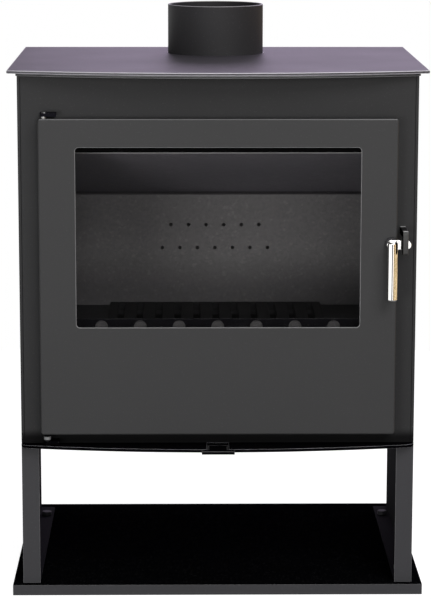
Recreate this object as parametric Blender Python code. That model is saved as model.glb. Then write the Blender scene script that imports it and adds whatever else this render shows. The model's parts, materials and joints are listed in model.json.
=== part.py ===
# Wood burning stove on an open log store, in metres: X to the right, Y from front to back, Z up.
# It stands on Z = 0, centred on X = 0 and Y = 0. The door opens to the left, on the axis of its
# two hinge pins; the handle turns on its spindle; the air control pulls out below the ash lip.

import math

import bmesh
import bpy
from mathutils import Vector

# Driving dimensions
GAP = 0.0003  # left between pieces that touch
SHEET = 0.003  # folded sheet of the base, the log store and the heat shield
WALL = 0.004  # plates of the firebox
FIT = 0.0004  # radial room round a pin, spindle or bolt
BEYOND = 0.020  # how far a cutter runs past the wall it cuts
SMALLEST_CORNER = 0.002

BODY_FRONT = -0.17625  # Y of the body's front face, from which every depth is counted
BODY_HALF = 0.2605
BODY_DEPTH = 0.3745
FLOOR_Z = 0.203  # underside of the floor plate, which the log store carries
TOP_Z = 0.7024  # hot plate's upper face
COLLAR_Z = 0.7702

BASE_HALF = 0.2739
BASE_FRONT = -0.010
BASE_BACK = 0.4025
BASE_HEIGHT = 0.014
FLANGE_WIDTH = 0.023  # folds of the log store's side panels
BOLT_RADIUS = 0.004
BOLT_LENGTH = 0.012
BOLT_DEPTHS = (("front", 0.050), ("rear", 0.330))

LIP_FRONT = -0.011  # the ash lip at the body's corners
LIP_BOW = 0.027
LIP_CORNER = 0.013

PLATE_HALF = 0.273
PLATE_FRONT = -0.010
PLATE_BOW = 0.0383
PLATE_BACK = 0.3767
PLATE_CORNER = 0.0015
HOT_PLATE = 0.0041
UNDER_PLATE = 0.003

COLLAR_BACK = 0.2816  # flue axis behind the body's front
COLLAR_RADIUS = 0.0665
COLLAR_WALL = 0.003
COLLAR_FLANGE_RADIUS = 0.075
COLLAR_FLANGE = 0.005

BLANKING_Z = 0.622  # rear flue outlet, closed by a round plate
BLANKING_RADIUS = 0.076
SHIELD_DEPTH = 0.0172  # heat shield behind the back panel

MOUTH_HALF = 0.201  # opening in the front frame
MOUTH_LOW = 0.246
MOUTH_HIGH = 0.618

DOOR_HALF = 0.2331
DOOR_LOW = 0.2231
DOOR_HIGH = 0.6407
DOOR_FACE = -0.022
DOOR_REAR = -0.0035
DOOR_SHEET = 0.0025
DOOR_CORNER = 0.004
WINDOW_HALF = 0.1851
WINDOW_LOW = 0.3672
WINDOW_HIGH = 0.6036
WINDOW_CORNER = 0.0045
GLASS_LAP = 0.008  # glass behind the sheet, all round the window
GLASS = 0.004
GASKET = 0.0023

CHANNEL_HALF = 0.2176
CHANNEL_LOW = 0.229
CHANNEL_HIGH = 0.635
CHANNEL_WIDTH = 0.015
CHANNEL_LIP = 0.0025
CHANNEL_REAR = -0.004
GROOVE_FLOOR = -0.012
CHANNEL_CORNER = 0.010

HINGE_X = -0.2253
HINGE_Y = -0.0125
PIN_RADIUS = 0.0035
BUSH_RADIUS = 0.005
BUSH_LENGTH = 0.030
BRACKET_THICKNESS = 0.0047
BRACKET_RIGHT = -0.2096
BRACKET_FRONT = -0.0175

HANDLE_X = 0.2255
HANDLE_Z = 0.478
SPINDLE_RADIUS = 0.004
SPINDLE_END_RADIUS = 0.0025
SPINDLE_SHOULDER = -0.016
SPINDLE_END = -0.005
BOSS_RADIUS = 0.0088
BOSS_LENGTH = 0.0045
TONGUE_HEIGHT = 0.012
TONGUE_THICKNESS = 0.006
TONGUE_REACH = 0.025
GRIP_RADIUS = 0.0067
GRIP_LOW = 0.4055
GRIP_HIGH = 0.483
KEEPER_LEFT = 0.2382
KEEPER_WIDTH = 0.007
KEEPER_FRONT = -0.050
KEEPER_LOW = 0.466
KEEPER_HIGH = 0.498

FIREBED_Z = 0.3337
FIREBED = 0.0065
ASH_FLOOR_Z = 0.244
BRICK = 0.025
BRICK_INNER = 0.2295  # half the fire chamber's width
BRICK_FRONT = 0.020
REAR_BRICK_FRONT = 0.320
REAR_BRICK_HIGH = 0.503
BAFFLE_FRONT = 0.050
BAFFLE_FRONT_Z = 0.5876
BAFFLE_THICKNESS = 0.015
DEFLECTOR_Z = 0.655  # airwash strip: its level part, and the edge it slopes down to
DEFLECTOR_FOOT = 0.624
DEFLECTOR_BEND = 0.008
DEFLECTOR_REAR = 0.030
AIR_HOLE_RADIUS = 0.0026
AIR_HOLE_PITCH = 0.0253
AIR_HOLE_ROWS = ((0.4513, 6), (0.418, 7))  # height and number of holes

RETAINER_FRONT = 0.016
RETAINER_HIGH = 0.3717
RETAINER_HOLE_RADIUS = 0.008
RETAINER_HOLE_PITCH = 0.0512
RETAINER_HOLE_Z = 0.3613
RETAINER_HOLES = 7

GRATE_HALF = 0.150
GRATE_FRONT = 0.070
GRATE_BACK = 0.290
GRATE_THICKNESS = 0.010
GRATE_SLOTS = 11
GRATE_SLOT = 0.010
GRATE_RIM = 0.012

PAN_HALF = 0.200
PAN_FRONT = 0.030
PAN_REAR = 0.300
PAN_LOW = 0.2483
PAN_HIGH = 0.315
PAN_SHEET = 0.002
VENT_HALF = 0.150  # slot in the ash floor, behind the pan
VENT_FRONT = 0.330
VENT_REAR = 0.350

SLIDER_HALF = 0.012
SLIDER_THICKNESS = 0.003
SLIDER_FRONT = -0.049
SLIDER_REAR = 0.108
SLIDER_DROP = 0.0065  # joggle that takes the bar under the floor plate
JOGGLE_TOP = -0.014
JOGGLE_FOOT = -0.008
NOTCH_HALF = 0.0146
HEAD_HALF = 0.0216
HEAD_DEPTH = 0.010
HEAD_THICKNESS = 0.004
AIR_SLOT = (0.015, 0.055, 0.074, 0.092)  # X from and to, Y from and to, mirrored left

ROUND = 48  # facets of the flue collar and its holes
SMALL_ROUND = 16
AIR_HOLE_ROUND = 12
CORNER_STEPS = 3


def back(distance):
    """Y of a plane this far behind the body's front face."""
    return BODY_FRONT + distance


def surface(name, colour, roughness, metallic=0.0, alpha=1.0):
    material = bpy.data.materials.new(name)
    material.use_nodes = True
    shader = material.node_tree.nodes["Principled BSDF"]
    shader.inputs["Base Color"].default_value = (*colour, 1.0)
    shader.inputs["Roughness"].default_value = roughness
    shader.inputs["Metallic"].default_value = metallic
    shader.inputs["Alpha"].default_value = alpha
    material.diffuse_color = (*colour, alpha)
    return material


# Meshes: every shape is built in world space, then its object is placed at the shape's middle.


def middle_of(bm):
    low = [min(v.co[i] for v in bm.verts) for i in range(3)]
    high = [max(v.co[i] for v in bm.verts) for i in range(3)]
    return (Vector(low) + Vector(high)) / 2


def add_object(name, bm, material, parent=None, smooth=False):
    bmesh.ops.recalc_face_normals(bm, faces=bm.faces)
    origin = middle_of(bm)
    bmesh.ops.translate(bm, verts=bm.verts, vec=-origin)
    mesh = bpy.data.meshes.new(name)
    bm.to_mesh(mesh)
    bm.free()
    if smooth:
        mesh.shade_smooth()
        mesh.set_sharp_from_angle(angle=math.radians(35))
    if material:
        mesh.materials.append(material)
    obj = bpy.data.objects.new(name, mesh)
    bpy.context.scene.collection.objects.link(obj)
    obj.parent = parent
    obj.location = origin - parent.location if parent else origin
    return obj


def pivot(name, location):
    empty = bpy.data.objects.new(name, None)
    empty.location = location
    empty.empty_display_size = 0.05
    bpy.context.scene.collection.objects.link(empty)
    return empty


def add_block(bm, x, y, z):
    made = bmesh.ops.create_cube(bm, size=1.0)["verts"]
    size = (x[1] - x[0], y[1] - y[0], z[1] - z[0])
    middle = ((x[0] + x[1]) / 2, (y[0] + y[1]) / 2, (z[0] + z[1]) / 2)
    bmesh.ops.scale(bm, verts=made, vec=size)
    bmesh.ops.translate(bm, verts=made, vec=middle)


def block(name, x, y, z, material, parent=None):
    bm = bmesh.new()
    add_block(bm, x, y, z)
    return add_object(name, bm, material, parent)


def add_loft(bm, loops, closed):
    """Skins loops of equal length. Closed, the last loop meets the first; else the ends are capped."""
    rings = [[bm.verts.new(point) for point in loop] for loop in loops]
    pairs = list(zip(rings, rings[1:]))
    if closed:
        pairs.append((rings[-1], rings[0]))
    else:
        bm.faces.new(rings[0])
        bm.faces.new(rings[-1])
    for first, second in pairs:
        count = len(first)
        for i in range(count):
            j = (i + 1) % count
            bm.faces.new((first[i], first[j], second[j], second[i]))


def loft(name, loops, material, parent=None, closed=True, smooth=False):
    bm = bmesh.new()
    add_loft(bm, loops, closed)
    return add_object(name, bm, material, parent, smooth)


def prism(name, outline, axis, low, high, material, parent=None):
    """Extrudes an outline along an axis. Its points are (Y, Z), (X, Z) or (X, Y) for X, Y or Z."""
    place = {
        "X": lambda a, b, t: (t, a, b),
        "Y": lambda a, b, t: (a, t, b),
        "Z": lambda a, b, t: (a, b, t),
    }[axis]
    ends = [[place(a, b, t) for a, b in outline] for t in (low, high)]
    return loft(name, ends, material, parent, closed=False)


def arc(centre, radius, start, end, steps):
    """Points from one angle to another, both in radians, ends included."""
    angles = [start + (end - start) * i / steps for i in range(steps + 1)]
    return [(centre[0] + radius * math.cos(a), centre[1] + radius * math.sin(a)) for a in angles]


def circle(radius, centre, axis, distance, segments=SMALL_ROUND, sides=0):
    """A loop round an axis. With sides, its points lie on a regular polygon of that inner radius."""
    points = []
    for i in range(segments):
        angle = 2 * math.pi * i / segments
        reach = radius
        if sides:
            half = math.pi / sides
            reach = radius / math.cos((angle % (2 * half)) - half)
        a, b = centre[0] + reach * math.cos(angle), centre[1] + reach * math.sin(angle)
        points.append({"X": (distance, a, b), "Y": (a, distance, b), "Z": (a, b, distance)}[axis])
    return points


def turned(name, profile, centre, axis, material, parent=None, closed=False, segments=SMALL_ROUND):
    """Turns a profile of (radius, distance) points. Closed, it is a ring; else a solid rod."""
    loops = [circle(radius, centre, axis, distance, segments) for radius, distance in profile]
    return loft(name, loops, material, parent, closed, smooth=True)


def rectangle(half, low, high, radius, y, steps=CORNER_STEPS):
    """A loop with round corners in a plane facing front, symmetric about X = 0."""
    corners = (
        ((half - radius, high - radius), 0.0),
        ((-half + radius, high - radius), math.pi / 2),
        ((-half + radius, low + radius), math.pi),
        ((half - radius, low + radius), math.pi * 1.5),
    )
    points = []
    for centre, start in corners:
        points += arc(centre, radius, start, start + math.pi / 2, steps)
    return [(x, y, z) for x, z in points]


def bowed(half, front, bow, rear, corner, steps=20):
    """An outline in XY whose front edge is one arc that stands bow proud of its corners."""
    radius = (half * half + bow * bow) / (2 * bow)
    centre_y = front - bow + radius
    fillet_x = half - corner
    fillet_y = centre_y - math.sqrt((radius - corner) ** 2 - fillet_x**2)
    end = math.atan2(fillet_y - centre_y, fillet_x)
    right = arc((fillet_x, fillet_y), corner, 0.0, end, CORNER_STEPS)
    front_arc = arc((0.0, centre_y), radius, end, -math.pi - end, steps)
    left = [(-x, y) for x, y in reversed(right)]
    return [(half, rear)] + right + front_arc[1:-1] + left + [(-half, rear)]


# Cuts


def cut(obj, bm):
    cutter = add_object(obj.name + "_cutter", bm, None, obj.parent)
    cutter.hide_render = True
    cutter.display_type = "WIRE"
    boolean = obj.modifiers.new("Cut", "BOOLEAN")
    boolean.operation = "DIFFERENCE"
    boolean.solver = "EXACT"
    boolean.object = cutter


def cut_blocks(obj, blocks):
    bm = bmesh.new()
    for x, y, z in blocks:
        add_block(bm, x, y, z)
    cut(obj, bm)


def cut_holes(obj, centres, radius, axis, low, high, segments=SMALL_ROUND):
    bm = bmesh.new()
    for centre in centres:
        add_loft(bm, [circle(radius, centre, axis, t, segments) for t in (low, high)], False)
    cut(obj, bm)


def cut_slots(obj, middles, half_width, half_height, front, rear):
    """Equal slots through a plate facing front, at (X, Z) middles, between two depths."""
    y = (back(front), back(rear))
    w, h = half_width, half_height
    cut_blocks(obj, [((x - w, x + w), y, (z - h, z + h)) for x, z in middles])


def mirrored(x):
    return (-x[1], -x[0])


def sides(x):
    """Left and right X ranges of a pair, with the name that each takes."""
    return (("left", mirrored(x)), ("right", x))


# Log store


def bolt_places():
    x = BODY_HALF - FLANGE_WIDTH / 2 - SHEET / 2
    for side, sign in (("left", -1), ("right", 1)):
        for end, distance in BOLT_DEPTHS:
            yield f"{side}_{end}", (sign * x, back(distance))


def make_bolt(name, centre, seat, up, material):
    """A hexagon head bolt, its head on the seat and its shank away from it."""
    head, flats, crown, chamfer = 0.0053, 0.0065, 0.00585, 0.0008
    away = 1 if up else -1
    loops = [
        circle(crown, centre, "Z", seat + away * head),
        circle(flats, centre, "Z", seat + away * (head - chamfer), sides=6),
        circle(flats, centre, "Z", seat, sides=6),
        circle(BOLT_RADIUS, centre, "Z", seat),
        circle(BOLT_RADIUS, centre, "Z", seat - away * BOLT_LENGTH),
    ]
    loft(name, loops, material, closed=False)


def make_log_store(paint, steel):
    base = block(
        "base_plate",
        (-BASE_HALF, BASE_HALF),
        (back(BASE_FRONT), back(BASE_BACK)),
        (0.0, BASE_HEIGHT),
        paint,
    )
    inner = BASE_HALF - SHEET
    cut_blocks(
        base,
        [
            (
                (-inner, inner),
                (back(BASE_FRONT + SHEET), back(BASE_BACK - SHEET)),
                (-BEYOND, BASE_HEIGHT - SHEET),
            )
        ],
    )
    foot, head = BASE_HEIGHT + GAP, FLOOR_Z - GAP
    bolts = list(bolt_places())
    hole = BOLT_RADIUS + FIT
    cut_holes(base, [place for _, place in bolts], hole, "Z", -BEYOND, BASE_HEIGHT + BEYOND)
    for side, x in sides((BODY_HALF - FLANGE_WIDTH, BODY_HALF)):
        panel = block(f"stand_side_{side}", x, (back(0), back(BODY_DEPTH)), (foot, head), paint)
        hollow = (BODY_HALF - FLANGE_WIDTH - BEYOND, BODY_HALF - SHEET)
        hollow = hollow if side == "right" else mirrored(hollow)
        depth = (back(SHEET), back(BODY_DEPTH + BEYOND))
        cut_blocks(panel, [(hollow, depth, (foot + SHEET, head - SHEET))])
        places = [place for name, place in bolts if name.startswith(side)]
        cut_holes(panel, places, hole, "Z", 0.0, FLOOR_Z + BEYOND)
    for name, place in bolts:
        make_bolt(f"base_bolt_{name}", place, foot + SHEET + GAP, True, steel)
        make_bolt(f"floor_bolt_{name}", place, head - SHEET - GAP, False, steel)


# Firebox shell


def make_shell(paint):
    floor_top = FLOOR_Z + WALL
    outline = bowed(BODY_HALF, LIP_FRONT, LIP_BOW, BODY_DEPTH, LIP_CORNER)
    outline = [(x, back(y)) for x, y in outline]
    floor = prism("floor_plate", outline, "Z", FLOOR_Z, floor_top, paint)
    inner, outer, front, rear = AIR_SLOT
    height = (FLOOR_Z - BEYOND, floor_top + BEYOND)
    notch = ((-NOTCH_HALF, NOTCH_HALF), (back(LIP_FRONT - LIP_BOW - BEYOND), back(0)), height)
    slots = [(x, (back(front), back(rear)), height) for _, x in sides((inner, outer))]
    cut_blocks(floor, [notch] + slots)
    places = [place for _, place in bolt_places()]
    cut_holes(floor, places, BOLT_RADIUS + FIT, "Z", *height)

    low, high = floor_top + GAP, TOP_Z - HOT_PLATE - UNDER_PLATE - 2 * GAP
    for side, x in sides((BODY_HALF - WALL, BODY_HALF)):
        block(f"body_side_{side}", x, (back(0), back(BODY_DEPTH)), (low, high), paint)
    within = BODY_HALF - WALL - GAP
    corner = 0.0005
    loft(
        "front_frame",
        [
            rectangle(within, low, high, corner, back(0)),
            rectangle(within, low, high, corner, back(WALL)),
            rectangle(MOUTH_HALF, MOUTH_LOW, MOUTH_HIGH, CHANNEL_CORNER, back(WALL)),
            rectangle(MOUTH_HALF, MOUTH_LOW, MOUTH_HIGH, CHANNEL_CORNER, back(0)),
        ],
        paint,
    )
    rear = (back(BODY_DEPTH - WALL), back(BODY_DEPTH))
    panel = block("back_panel", (-within, within), rear, (low, high), paint)
    outlet = (0.0, BLANKING_Z)
    through = (back(BODY_DEPTH - BEYOND), back(BODY_DEPTH + BEYOND))
    cut_holes(panel, [outlet], COLLAR_RADIUS, "Y", *through, ROUND)
    make_blanking_plate(outlet, paint)
    make_heat_shield(paint)


def make_blanking_plate(centre, paint):
    """Round cover of the rear flue outlet, with a shallow dish in its face."""
    face = back(BODY_DEPTH + GAP)
    rim, slope, dish = 0.012, 0.002, 0.0016
    profile = [
        (BLANKING_RADIUS, face),
        (BLANKING_RADIUS, face + WALL),
        (BLANKING_RADIUS - rim, face + WALL),
        (BLANKING_RADIUS - rim - slope, face + WALL - dish),
    ]
    turned("blanking_plate", profile, centre, "Y", paint, segments=ROUND)


def make_heat_shield(paint):
    """Sheet folded forward at both sides, with rows of slots near its top and its foot."""
    half, low, high = 0.230, 0.240, 0.540
    near, far = BODY_DEPTH + GAP, BODY_DEPTH + GAP + SHIELD_DEPTH
    shield = block("heat_shield", (-half, half), (back(near), back(far)), (low, high), paint)
    inner = half - SHEET
    trough_depth = (back(near - BEYOND), back(far - SHEET))
    cut_blocks(shield, [((-inner, inner), trough_depth, (low - BEYOND, high + BEYOND))])
    half_width, half_height, pitch, edge, column = 0.060, 0.004, 0.022, 0.035, 0.130
    rows = []
    for i in range(3):
        rows += [low + edge + i * pitch, high - edge - i * pitch]
    middles = [(x, z) for z in rows for x in (-column, 0.0, column)]
    cut_slots(shield, middles, half_width, half_height, near, far + BEYOND)


def make_top(paint, collar_paint):
    axis = (0.0, back(COLLAR_BACK))
    under_high = TOP_Z - HOT_PLATE - GAP
    inset = 0.001
    outline = bowed(BODY_HALF + inset, PLATE_FRONT + inset, PLATE_BOW, BODY_DEPTH, PLATE_CORNER)
    outline = [(x, back(y)) for x, y in outline]
    under = prism("firebox_top", outline, "Z", under_high - UNDER_PLATE, under_high, paint)
    outline = bowed(PLATE_HALF, PLATE_FRONT, PLATE_BOW, PLATE_BACK, PLATE_CORNER)
    outline = [(x, back(y)) for x, y in outline]
    plate = prism("top_plate", outline, "Z", TOP_Z - HOT_PLATE, TOP_Z, collar_paint)
    for piece in (under, plate):
        cut_holes(piece, [axis], COLLAR_RADIUS + FIT, "Z", TOP_Z - BEYOND, TOP_Z + BEYOND, ROUND)
    bore = COLLAR_RADIUS - COLLAR_WALL
    seat = under_high - UNDER_PLATE - GAP
    round_over = 0.0005
    profile = [
        (bore, seat - COLLAR_FLANGE),
        (COLLAR_FLANGE_RADIUS, seat - COLLAR_FLANGE),
        (COLLAR_FLANGE_RADIUS, seat),
        (COLLAR_RADIUS, seat),
        (COLLAR_RADIUS, COLLAR_Z - round_over),
        (COLLAR_RADIUS - round_over, COLLAR_Z),
        (bore + round_over, COLLAR_Z),
        (bore, COLLAR_Z - round_over),
    ]
    turned("flue_collar", profile, axis, "Z", collar_paint, closed=True, segments=ROUND)


# Inside the firebox


def baffle_rise(distance):
    """Height of the baffle's underside this far behind the body's front."""
    slope = (BAFFLE_FRONT_Z - REAR_BRICK_HIGH - GAP) / (REAR_BRICK_FRONT - BAFFLE_FRONT)
    return BAFFLE_FRONT_Z + slope * (BAFFLE_FRONT - distance)


def make_bricks(brick):
    low = FIREBED_Z + GAP
    rear = REAR_BRICK_FRONT + BRICK
    outer = BRICK_INNER + BRICK
    outline = [
        (back(BRICK_FRONT), low),
        (back(rear), low),
        (back(rear), baffle_rise(rear) - GAP),
        (back(BAFFLE_FRONT), BAFFLE_FRONT_Z - GAP),
        (back(BRICK_FRONT), BAFFLE_FRONT_Z - GAP),
    ]
    for side, x in sides((BRICK_INNER, outer)):
        prism(f"brick_{side}", outline, "X", *x, brick)
    within = BRICK_INNER - GAP
    depth = (back(REAR_BRICK_FRONT), back(rear))
    high = baffle_rise(rear) - GAP
    board = block("brick_rear", (-within, within), depth, (low, high), brick)
    holes = []
    for z, count in AIR_HOLE_ROWS:
        holes += [((i - (count - 1) / 2) * AIR_HOLE_PITCH, z) for i in range(count)]
    through = (back(REAR_BRICK_FRONT - BEYOND), back(rear + BEYOND))
    cut_holes(board, holes, AIR_HOLE_RADIUS, "Y", *through, AIR_HOLE_ROUND)
    front, below_bar = RETAINER_FRONT + SHEET + 2 * GAP, 0.004
    depth = (back(front), back(front + BRICK / 2))
    block("brick_front", (-within, within), depth, (low, RETAINER_HIGH - below_bar), brick)


def make_baffle(brick):
    rear = REAR_BRICK_FRONT + BRICK
    outline = [
        (back(BAFFLE_FRONT), baffle_rise(BAFFLE_FRONT)),
        (back(rear), baffle_rise(rear)),
        (back(rear), baffle_rise(rear) + BAFFLE_THICKNESS),
        (back(BAFFLE_FRONT), baffle_rise(BAFFLE_FRONT) + BAFFLE_THICKNESS),
    ]
    outer = BRICK_INNER + BRICK
    prism("baffle_plate", outline, "X", -outer, outer, brick)


def make_airwash(steel):
    """Sloping strip that turns the air from above the door down over the glass."""
    slant = 0.002
    outline = [
        (WALL + GAP, DEFLECTOR_Z),
        (WALL + GAP, DEFLECTOR_Z + SHEET),
        (DEFLECTOR_BEND + slant, DEFLECTOR_Z + SHEET),
        (DEFLECTOR_REAR, DEFLECTOR_FOOT),
        (DEFLECTOR_REAR - SHEET, DEFLECTOR_FOOT),
        (DEFLECTOR_BEND, DEFLECTOR_Z),
    ]
    outline = [(back(y), z) for y, z in outline]
    prism("airwash_deflector", outline, "X", -BRICK_INNER, BRICK_INNER, steel)


def make_firebed(steel, iron):
    """The plate that the fire and the bricks stand on, its sides folded down, and the grate."""
    clearance, overhang_front, overhang_rear = 0.0008, 0.008, 0.006
    outer = BODY_HALF - WALL - clearance
    rear = REAR_BRICK_FRONT + BRICK + overhang_rear
    depth = (back(BRICK_FRONT - overhang_front), back(rear))
    low = ASH_FLOOR_Z + GAP
    bed = block("firebed_plate", (-outer, outer), depth, (low, FIREBED_Z), steel)
    inner, ledge = outer - SHEET, 0.010
    cut_blocks(
        bed,
        [
            (
                (-inner, inner),
                (depth[0] - BEYOND, depth[1] + BEYOND),
                (low - BEYOND, FIREBED_Z - FIREBED),
            )
        ],
    )
    hole = GRATE_HALF - ledge
    hole_depth = (back(GRATE_FRONT + ledge), back(GRATE_BACK - ledge))
    cut_blocks(bed, [((-hole, hole), hole_depth, (FIREBED_Z - BEYOND, FIREBED_Z + BEYOND))])

    height = (FIREBED_Z + GAP, FIREBED_Z + GAP + GRATE_THICKNESS)
    depth = (back(GRATE_FRONT), back(GRATE_BACK))
    grate = block("grate", (-GRATE_HALF, GRATE_HALF), depth, height, iron)
    pitch = 2 * (GRATE_HALF - GRATE_RIM - GRATE_SLOT / 2) / (GRATE_SLOTS - 1)
    places = [(i - (GRATE_SLOTS - 1) / 2) * pitch for i in range(GRATE_SLOTS)]
    slot_depth = (depth[0] + GRATE_RIM, depth[1] - GRATE_RIM)
    slot_height = (height[0] - BEYOND, height[1] + BEYOND)
    half = GRATE_SLOT / 2
    cut_blocks(grate, [((x - half, x + half), slot_depth, slot_height) for x in places])


def make_retainer(steel):
    """Bar that keeps logs off the glass, with a row of round holes."""
    clearance = 0.004
    half = BRICK_INNER - clearance
    depth = (back(RETAINER_FRONT), back(RETAINER_FRONT + SHEET))
    height = (FIREBED_Z + GAP, RETAINER_HIGH)
    bar = block("log_retainer", (-half, half), depth, height, steel)
    first = -(RETAINER_HOLES - 1) / 2
    places = [((first + i) * RETAINER_HOLE_PITCH, RETAINER_HOLE_Z) for i in range(RETAINER_HOLES)]
    through = (back(RETAINER_FRONT - BEYOND), back(RETAINER_FRONT + BEYOND))
    cut_holes(bar, places, RETAINER_HOLE_RADIUS, "Y", *through)


def make_ash_drawer(steel):
    """The floor of the ash compartment, and the open pan that stands on it."""
    clearance = 0.0005
    within = BODY_HALF - WALL - clearance
    depth = (back(WALL + GAP), back(BODY_DEPTH - WALL - GAP))
    floor = block("ash_floor", (-within, within), depth, (ASH_FLOOR_Z - SHEET, ASH_FLOOR_Z), steel)
    height = (ASH_FLOOR_Z - BEYOND, ASH_FLOOR_Z + BEYOND)
    cut_blocks(floor, [((-VENT_HALF, VENT_HALF), (back(VENT_FRONT), back(VENT_REAR)), height)])
    depth = (back(PAN_FRONT), back(PAN_REAR))
    pan = block("ash_pan", (-PAN_HALF, PAN_HALF), depth, (PAN_LOW, PAN_HIGH), steel)
    half = PAN_HALF - PAN_SHEET
    depth = (back(PAN_FRONT + PAN_SHEET), back(PAN_REAR - PAN_SHEET))
    cut_blocks(pan, [((-half, half), depth, (PAN_LOW + PAN_SHEET, PAN_HIGH + BEYOND))])


# Door


def make_door_panel(paint, parent):
    """Front sheet with its edges folded back, and the window opening with a fine bevel."""
    fold = DOOR_SHEET
    half_fold = fold * (1 - math.sqrt(0.5))
    window_bevel = 0.0006

    def outer(inset, y, radius=DOOR_CORNER):
        return rectangle(
            DOOR_HALF - inset, DOOR_LOW + inset, DOOR_HIGH - inset, radius, back(y)
        )

    def window(grow, y):
        return rectangle(
            WINDOW_HALF + grow,
            WINDOW_LOW - grow,
            WINDOW_HIGH + grow,
            WINDOW_CORNER + grow,
            back(y),
        )

    inner_face = DOOR_FACE + DOOR_SHEET
    loops = [
        window(window_bevel, DOOR_FACE),
        outer(fold, DOOR_FACE, DOOR_CORNER - fold),
        outer(half_fold, DOOR_FACE + half_fold, DOOR_CORNER - half_fold),
        outer(0.0, DOOR_FACE + fold),
        outer(0.0, DOOR_REAR),
        outer(fold, DOOR_REAR, DOOR_CORNER - fold),
        outer(fold, inner_face, DOOR_CORNER - fold),
        window(0.0, inner_face),
        window(0.0, DOOR_FACE + window_bevel),
    ]
    panel = loft("door_panel", loops, paint, parent)
    spindle = [(HANDLE_X, HANDLE_Z)]
    through = (back(DOOR_FACE - BEYOND), back(DOOR_REAR))
    cut_holes(panel, spindle, SPINDLE_RADIUS + FIT, "Y", *through)
    hinge = [(HINGE_X, back(HINGE_Y))]
    cut_holes(panel, hinge, PIN_RADIUS + FIT, "Z", DOOR_LOW - BEYOND, DOOR_HIGH + BEYOND)


def make_channel(paint, parent):
    """Welded ring behind the sheet, with the groove that holds the rope."""
    front = DOOR_FACE + DOOR_SHEET + GAP

    def ring(inset, y):
        radius = max(CHANNEL_CORNER - inset, SMALLEST_CORNER)
        return rectangle(
            CHANNEL_HALF - inset, CHANNEL_LOW + inset, CHANNEL_HIGH - inset, radius, back(y)
        )

    far_lip = CHANNEL_WIDTH - CHANNEL_LIP
    loops = [
        ring(0.0, front),
        ring(0.0, CHANNEL_REAR),
        ring(CHANNEL_LIP, CHANNEL_REAR),
        ring(CHANNEL_LIP, GROOVE_FLOOR),
        ring(far_lip, GROOVE_FLOOR),
        ring(far_lip, CHANNEL_REAR),
        ring(CHANNEL_WIDTH, CHANNEL_REAR),
        ring(CHANNEL_WIDTH, front),
    ]
    loft("rope_channel", loops, paint, parent)


def make_rope(rope, parent):
    """Rope seal: it fills the groove and meets the front frame."""
    middle_inset = CHANNEL_WIDTH / 2
    half_width = CHANNEL_WIDTH / 2 - CHANNEL_LIP - GAP
    low, high = GROOVE_FLOOR + GAP, -GAP
    centre_y, half_depth = (low + high) / 2, (high - low) / 2
    loops, facets = [], 8
    stretch = 1 / math.cos(math.pi / facets)
    for i in range(facets):
        angle = math.pi * (2 * i + 1) / facets
        inset = middle_inset + half_width * stretch * math.cos(angle)
        y = centre_y + half_depth * stretch * math.sin(angle)
        radius = max(CHANNEL_CORNER - inset, SMALLEST_CORNER)
        loops.append(
            rectangle(
                CHANNEL_HALF - inset, CHANNEL_LOW + inset, CHANNEL_HIGH - inset, radius, back(y)
            )
        )
    loft("rope_seal", loops, rope, parent, smooth=True)


def make_glazing(glass, gasket, steel, parent):
    """The pane on its tape, held by four clips at its sides, and a rail under its lower edge."""
    half = WINDOW_HALF + GLASS_LAP
    low, high = WINDOW_LOW - GLASS_LAP, WINDOW_HIGH + GLASS_LAP
    seat = DOOR_FACE + DOOR_SHEET + GAP
    tape, corner = 0.0055, 0.004
    loops = []
    for inset, y in ((0, seat), (0, seat + GASKET), (tape, seat + GASKET), (tape, seat)):
        loops.append(rectangle(half - inset, low + inset, high - inset, corner, back(y)))
    loft("glass_gasket", loops, gasket, parent)
    pane = (back(seat + GASKET + GAP), back(seat + GASKET + GAP + GLASS))
    block("door_glass", (-half, half), pane, (low, high), glass, parent)

    lap, foot_width, flap, height = 0.006, 0.0075, 0.002, 0.022
    room, from_corner = 0.0012, 0.045
    foot_in = half + room
    flap_front = pane[1] + GAP
    outline = [
        (foot_in, back(seat)),
        (foot_in + foot_width, back(seat)),
        (foot_in + foot_width, flap_front + flap),
        (half - lap, flap_front + flap),
        (half - lap, flap_front),
        (foot_in, flap_front),
    ]
    for side, sign in (("left", -1), ("right", 1)):
        for level, z in (("lower", low + from_corner), ("upper", high - from_corner)):
            points = [(sign * x, y) for x, y in outline]
            span = (z - height / 2, z + height / 2)
            prism(f"glass_clip_{side}_{level}", points, "Z", *span, steel, parent)
    rail_half, rail_depth, rail_height = 0.185, 0.008, 0.009
    depth = (back(seat), back(seat + rail_depth))
    height = (low - rail_height, low - GAP)
    block("glass_rail", (-rail_half, rail_half), depth, height, steel, parent)


# Hinges: the pins stand in brackets on the body, and the bushes turn on them with the door.


def bracket_outline():
    """Plate with a round end on the pin's axis, seen from above."""
    radius = -BRACKET_FRONT + HINGE_Y
    round_end = arc((HINGE_X, HINGE_Y), radius, math.pi, 1.5 * math.pi, 6)
    points = [(HINGE_X - radius, -GAP)] + round_end
    points += [(BRACKET_RIGHT, BRACKET_FRONT), (BRACKET_RIGHT, -GAP)]
    return [(x, back(y)) for x, y in points]


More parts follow.
